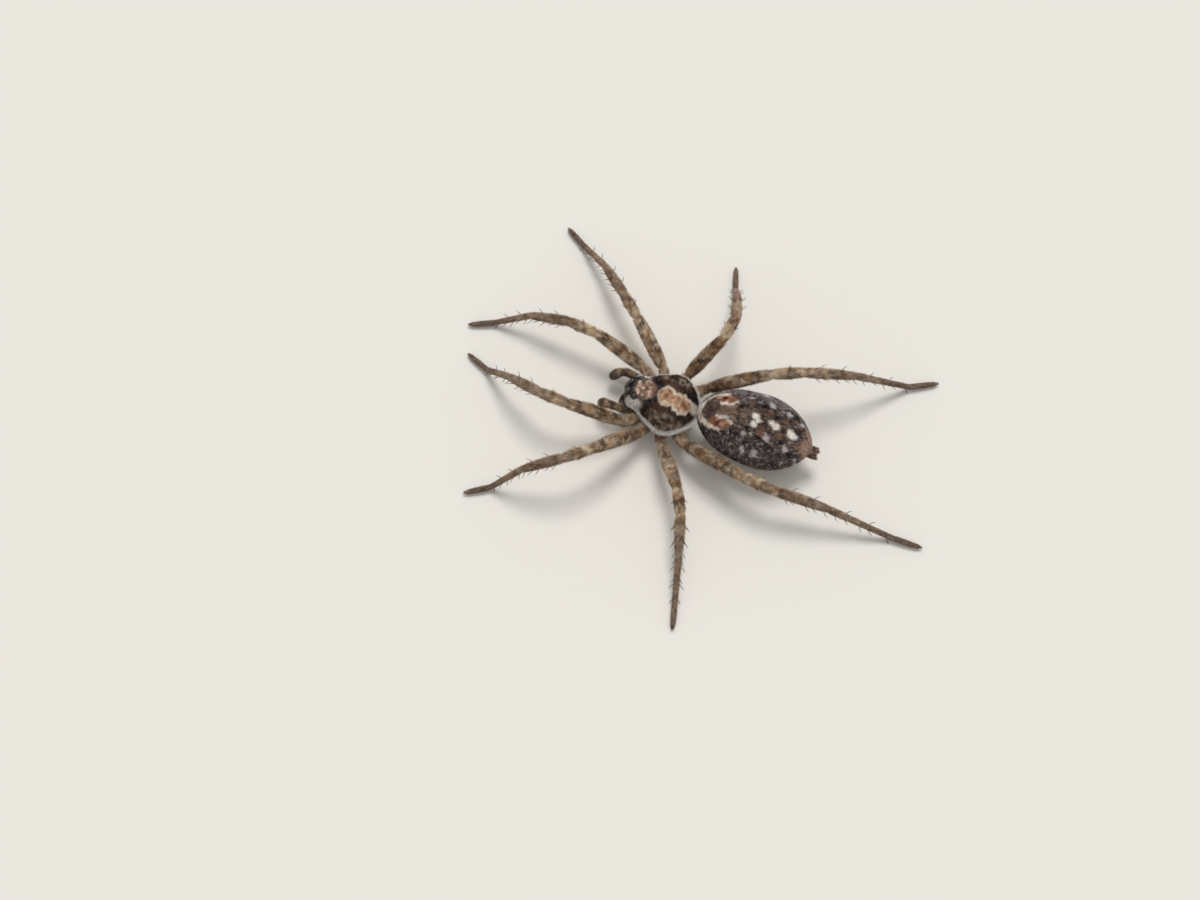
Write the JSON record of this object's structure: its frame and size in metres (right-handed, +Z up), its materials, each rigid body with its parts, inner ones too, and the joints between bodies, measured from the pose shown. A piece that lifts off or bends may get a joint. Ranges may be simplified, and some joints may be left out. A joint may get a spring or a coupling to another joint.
{
  "type": "wolf spider",
  "caption": "Life-size still model of a sand-dwelling wolf spider at rest on its feet, with eyes, jaws, palps, jointed legs and spinnerets.",
  "frame": {"origin": "on the floor, under the middle of the spider's bounding box", "axes": "+Z up, the head points along -Y, the spider's left side is +X"},
  "size_m": [0.025, 0.032, 0.0041],
  "materials": {
    "carapace": "dark reddish brown shell under lying grey and tan hairs, semi-matt",
    "abdomen": "charcoal to purplish brown velvet of fine lying hairs, matt",
    "thighs": "mottled grey-brown and tan shell with pale rings and fine hairs, matt",
    "shins": "mottled dark brown and tan shell with fine hairs and spines, matt",
    "feet": "dark grey-brown shell with close short hairs, matt",
    "jaws": "dark chestnut shell, semi-gloss, with pale hairs",
    "claws": "black-brown hard shell, glossy",
    "eyes": "glossy black lens",
    "underside": "dark brown shell with short hairs, matt",
    "soft_skin": "pale greyish pink soft skin, matt"
  },
  "bodies": {
    "root": {"abdomen": "abdomen", "carapace": "carapace", "chelicera_left": "jaws", "chelicera_right": "jaws", "coxa_left_1": "thighs", "coxa_left_2": "thighs", "coxa_left_3": "thighs", "coxa_left_4": "thighs", "coxa_right_1": "thighs", "coxa_right_2": "thighs", "coxa_right_3": "thighs", "coxa_right_4": "thighs", "eye_front_lateral_left": "eyes", "eye_front_lateral_right": "eyes", "eye_front_median_left": "eyes", "eye_front_median_right": "eyes", "eye_rear_lateral_left": "eyes", "eye_rear_lateral_right": "eyes", "eye_rear_median_left": "eyes", "eye_rear_median_right": "eyes", "fang_left": "claws", "fang_right": "claws", "femur_left_1": "thighs", "femur_left_2": "thighs", "femur_left_3": "thighs", "femur_left_4": "thighs", "femur_right_1": "thighs", "femur_right_2": "thighs", "femur_right_3": "thighs", "femur_right_4": "thighs", "metatarsus_left_1": "feet", "metatarsus_left_2": "feet", "metatarsus_left_3": "feet", "metatarsus_left_4": "feet", "metatarsus_right_1": "feet", "metatarsus_right_2": "feet", "metatarsus_right_3": "feet", "metatarsus_right_4": "feet", "mouthparts": "underside", "palp_left": "shins", "palp_right": "shins", "pedicel": "soft_skin", "spinnerets": "soft_skin", "sternum": "underside", "tarsus_left_1": "feet", "tarsus_left_2": "feet", "tarsus_left_3": "feet", "tarsus_left_4": "feet", "tarsus_right_1": "feet", "tarsus_right_2": "feet", "tarsus_right_3": "feet", "tarsus_right_4": "feet", "tibia_left_1": "shins", "tibia_left_2": "shins", "tibia_left_3": "shins", "tibia_left_4": "shins", "tibia_right_1": "shins", "tibia_right_2": "shins", "tibia_right_3": "shins", "tibia_right_4": "shins"}
  },
  "joints": []
}
